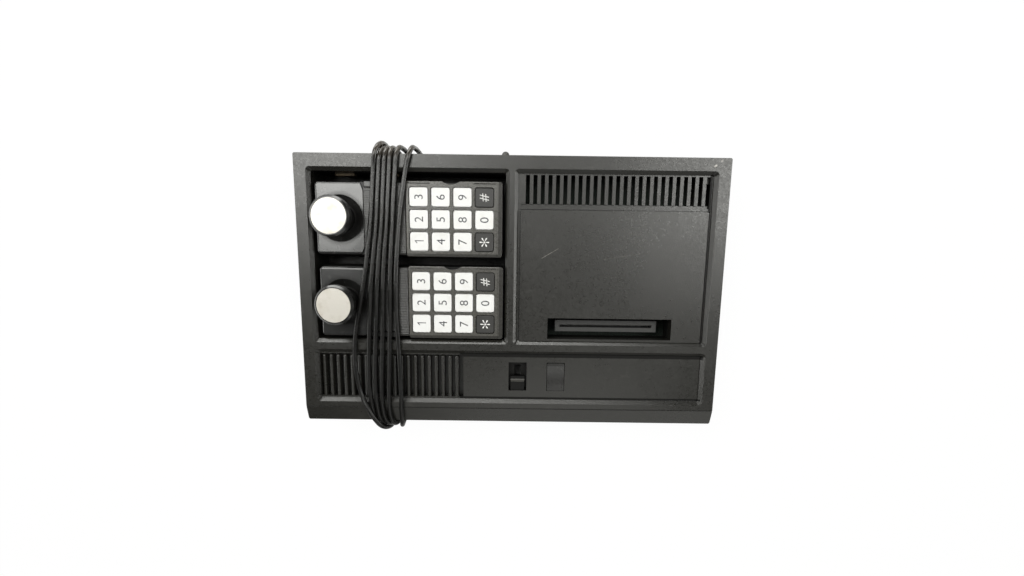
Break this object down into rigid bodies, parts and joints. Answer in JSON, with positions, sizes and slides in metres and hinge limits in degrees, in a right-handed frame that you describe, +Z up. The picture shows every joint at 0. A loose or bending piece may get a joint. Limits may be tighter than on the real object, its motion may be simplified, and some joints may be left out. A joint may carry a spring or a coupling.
{
  "type": "home video game console",
  "caption": "Low black home video game console with keypad-and-stick hand controllers stowed in a left well, a vented right deck with cartridge slot, and its lead wound round the case.",
  "frame": {"origin": "on the table, under the middle of the case's footprint", "axes": "+X to the right, +Y to the back edge, +Z up; the ribbed strip is at the front and the controllers are on the left"},
  "size_m": [0.3556, 0.2478, 0.0788],
  "materials": {
    "case_plastic": "fine grained black",
    "pad_plastic": "fine grained black",
    "frame_plastic": "satin black",
    "key_white": "satin white",
    "key_dark": "satin black",
    "knob_plastic": "glossy black",
    "disc_metal": "brushed",
    "rubber": "matt",
    "steel": "zinc plated",
    "board": "lacquered",
    "shield": "tin plated",
    "connector": "moulded",
    "contacts": "worn",
    "inner_plastic": "moulded",
    "cord": "satin black sleeve",
    "plug": "black grip"
  },
  "bodies": {
    "console": {"top_housing": "case_plastic", "base_housing": "case_plastic", "rubber_feet": "rubber", "case_screws": "steel", "main_board": "board", "rf_shield": "shield", "cartridge_connector": "connector", "power_switch_body": "inner_plastic", "controller_ports": "contacts", "power_inlet": "connector", "lead_strain_relief": "rubber", "lead_free_runs": "cord", "lead_winding": "cord", "lead_plug": "plug", "upper_front_shell": "pad_plastic", "upper_back_shell": "pad_plastic", "upper_keypad_board": "board", "upper_keypad_frame": "frame_plastic", "lower_front_shell": "pad_plastic", "lower_back_shell": "pad_plastic", "lower_keypad_board": "board", "lower_keypad_frame": "frame_plastic"},
    "power_slider": {"power_slider": "case_plastic"},
    "reset_button": {"reset_button": "case_plastic"},
    "expansion_cover": {"expansion_cover": "case_plastic"},
    "channel_lever": {"channel_lever": "connector"},
    "upper_gimbal": {"upper_gimbal_ring": "inner_plastic"},
    "upper_stick": {"upper_stick": "knob_plastic", "upper_knob_disc": "disc_metal"},
    "upper_side_button_back": {"upper_side_button_back": "knob_plastic"},
    "upper_side_button_front": {"upper_side_button_front": "knob_plastic"},
    "upper_key_1": {"upper_key_1": "key_white"},
    "upper_key_2": {"upper_key_2": "key_white"},
    "upper_key_3": {"upper_key_3": "key_white"},
    "upper_key_4": {"upper_key_4": "key_white"},
    "upper_key_5": {"upper_key_5": "key_white"},
    "upper_key_6": {"upper_key_6": "key_white"},
    "upper_key_7": {"upper_key_7": "key_white"},
    "upper_key_8": {"upper_key_8": "key_white"},
    "upper_key_9": {"upper_key_9": "key_white"},
    "upper_key_star": {"upper_key_star": "key_dark"},
    "upper_key_0": {"upper_key_0": "key_white"},
    "upper_key_hash": {"upper_key_hash": "key_dark"},
    "lower_gimbal": {"lower_gimbal_ring": "inner_plastic"},
    "lower_stick": {"lower_stick": "knob_plastic", "lower_knob_disc": "disc_metal"},
    "lower_side_button_back": {"lower_side_button_back": "knob_plastic"},
    "lower_side_button_front": {"lower_side_button_front": "knob_plastic"},
    "lower_key_1": {"lower_key_1": "key_white"},
    "lower_key_2": {"lower_key_2": "key_white"},
    "lower_key_3": {"lower_key_3": "key_white"},
    "lower_key_4": {"lower_key_4": "key_white"},
    "lower_key_5": {"lower_key_5": "key_white"},
    "lower_key_6": {"lower_key_6": "key_white"},
    "lower_key_7": {"lower_key_7": "key_white"},
    "lower_key_8": {"lower_key_8": "key_white"},
    "lower_key_9": {"lower_key_9": "key_white"},
    "lower_key_star": {"lower_key_star": "key_dark"},
    "lower_key_0": {"lower_key_0": "key_white"},
    "lower_key_hash": {"lower_key_hash": "key_dark"}
  },
  "joints": [
    {"name": "power_slide", "type": "slide", "parent": "console", "child": "power_slider", "axis": [0, 1, 0], "range_m": [0, 0.012]},
    {"name": "reset_press", "type": "slide", "parent": "console", "child": "reset_button", "axis": [0, 0, -1], "range_m": [0, 0.0015], "stiffness_N_per_m": 400},
    {"name": "cover_slide", "type": "slide", "parent": "console", "child": "expansion_cover", "axis": [-1, 0, 0], "range_m": [0, 0.08]},
    {"name": "channel_slide", "type": "slide", "parent": "console", "child": "channel_lever", "axis": [1, 0, 0], "range_m": [0, 0.0072]},
    {"name": "upper_stick_forward", "type": "hinge", "parent": "console", "child": "upper_gimbal", "pos_m": [-0.1419, 0.0614, 0.044], "axis": [1, 0, 0], "range_deg": [-8.7, 11.3], "stiffness_Nm_per_rad": 0.08},
    {"name": "upper_stick_side", "type": "hinge", "parent": "upper_gimbal", "child": "upper_stick", "pos_m": [-0.1419, 0.0614, 0.044], "axis": [0, 0.9997, -0.0227], "range_deg": [-7.2, 12.8], "stiffness_Nm_per_rad": 0.08},
    {"name": "upper_side_button_back_press", "type": "slide", "parent": "console", "child": "upper_side_button_back", "axis": [0, -1, 0], "range_m": [0, 0.0008], "stiffness_N_per_m": 300},
    {"name": "upper_side_button_front_press", "type": "slide", "parent": "console", "child": "upper_side_button_front", "axis": [0, 1, 0], "range_m": [0, 0.0008], "stiffness_N_per_m": 300},
    {"name": "upper_key_1_press", "type": "slide", "parent": "console", "child": "upper_key_1", "axis": [0, 0, -1], "range_m": [0, 0.001], "stiffness_N_per_m": 300},
    {"name": "upper_key_2_press", "type": "slide", "parent": "console", "child": "upper_key_2", "axis": [0, 0, -1], "range_m": [0, 0.001], "stiffness_N_per_m": 300},
    {"name": "upper_key_3_press", "type": "slide", "parent": "console", "child": "upper_key_3", "axis": [0, 0, -1], "range_m": [0, 0.001], "stiffness_N_per_m": 300},
    {"name": "upper_key_4_press", "type": "slide", "parent": "console", "child": "upper_key_4", "axis": [0, 0, -1], "range_m": [0, 0.001], "stiffness_N_per_m": 300},
    {"name": "upper_key_5_press", "type": "slide", "parent": "console", "child": "upper_key_5", "axis": [0, 0, -1], "range_m": [0, 0.001], "stiffness_N_per_m": 300},
    {"name": "upper_key_6_press", "type": "slide", "parent": "console", "child": "upper_key_6", "axis": [0, 0, -1], "range_m": [0, 0.001], "stiffness_N_per_m": 300},
    {"name": "upper_key_7_press", "type": "slide", "parent": "console", "child": "upper_key_7", "axis": [0, 0, -1], "range_m": [0, 0.001], "stiffness_N_per_m": 300},
    {"name": "upper_key_8_press", "type": "slide", "parent": "console", "child": "upper_key_8", "axis": [0, 0, -1], "range_m": [0, 0.001], "stiffness_N_per_m": 300},
    {"name": "upper_key_9_press", "type": "slide", "parent": "console", "child": "upper_key_9", "axis": [0, 0, -1], "range_m": [0, 0.001], "stiffness_N_per_m": 300},
    {"name": "upper_key_star_press", "type": "slide", "parent": "console", "child": "upper_key_star", "axis": [0, 0, -1], "range_m": [0, 0.001], "stiffness_N_per_m": 300},
    {"name": "upper_key_0_press", "type": "slide", "parent": "console", "child": "upper_key_0", "axis": [0, 0, -1], "range_m": [0, 0.001], "stiffness_N_per_m": 300},
    {"name": "upper_key_hash_press", "type": "slide", "parent": "console", "child": "upper_key_hash", "axis": [0, 0, -1], "range_m": [0, 0.001], "stiffness_N_per_m": 300},
    {"name": "lower_stick_forward", "type": "hinge", "parent": "console", "child": "lower_gimbal", "pos_m": [-0.1409, -0.0076, 0.044], "axis": [1, 0, 0], "range_deg": [-11.5, 8.5], "stiffness_Nm_per_rad": 0.08},
    {"name": "lower_stick_side", "type": "hinge", "parent": "lower_gimbal", "child": "lower_stick", "pos_m": [-0.1409, -0.0076, 0.044], "axis": [0, 0.9997, 0.0262], "range_deg": [-6.8, 13.2], "stiffness_Nm_per_rad": 0.08},
    {"name": "lower_side_button_back_press", "type": "slide", "parent": "console", "child": "lower_side_button_back", "axis": [0, -1, 0], "range_m": [0, 0.0008], "stiffness_N_per_m": 300},
    {"name": "lower_side_button_front_press", "type": "slide", "parent": "console", "child": "lower_side_button_front", "axis": [0, 1, 0], "range_m": [0, 0.0008], "stiffness_N_per_m": 300},
    {"name": "lower_key_1_press", "type": "slide", "parent": "console", "child": "lower_key_1", "axis": [0, 0, -1], "range_m": [0, 0.001], "stiffness_N_per_m": 300},
    {"name": "lower_key_2_press", "type": "slide", "parent": "console", "child": "lower_key_2", "axis": [0, 0, -1], "range_m": [0, 0.001], "stiffness_N_per_m": 300},
    {"name": "lower_key_3_press", "type": "slide", "parent": "console", "child": "lower_key_3", "axis": [0, 0, -1], "range_m": [0, 0.001], "stiffness_N_per_m": 300},
    {"name": "lower_key_4_press", "type": "slide", "parent": "console", "child": "lower_key_4", "axis": [0, 0, -1], "range_m": [0, 0.001], "stiffness_N_per_m": 300},
    {"name": "lower_key_5_press", "type": "slide", "parent": "console", "child": "lower_key_5", "axis": [0, 0, -1], "range_m": [0, 0.001], "stiffness_N_per_m": 300},
    {"name": "lower_key_6_press", "type": "slide", "parent": "console", "child": "lower_key_6", "axis": [0, 0, -1], "range_m": [0, 0.001], "stiffness_N_per_m": 300},
    {"name": "lower_key_7_press", "type": "slide", "parent": "console", "child": "lower_key_7", "axis": [0, 0, -1], "range_m": [0, 0.001], "stiffness_N_per_m": 300},
    {"name": "lower_key_8_press", "type": "slide", "parent": "console", "child": "lower_key_8", "axis": [0, 0, -1], "range_m": [0, 0.001], "stiffness_N_per_m": 300},
    {"name": "lower_key_9_press", "type": "slide", "parent": "console", "child": "lower_key_9", "axis": [0, 0, -1], "range_m": [0, 0.001], "stiffness_N_per_m": 300},
    {"name": "lower_key_star_press", "type": "slide", "parent": "console", "child": "lower_key_star", "axis": [0, 0, -1], "range_m": [0, 0.001], "stiffness_N_per_m": 300},
    {"name": "lower_key_0_press", "type": "slide", "parent": "console", "child": "lower_key_0", "axis": [0, 0, -1], "range_m": [0, 0.001], "stiffness_N_per_m": 300},
    {"name": "lower_key_hash_press", "type": "slide", "parent": "console", "child": "lower_key_hash", "axis": [0, 0, -1], "range_m": [0, 0.001], "stiffness_N_per_m": 300}
  ]
}
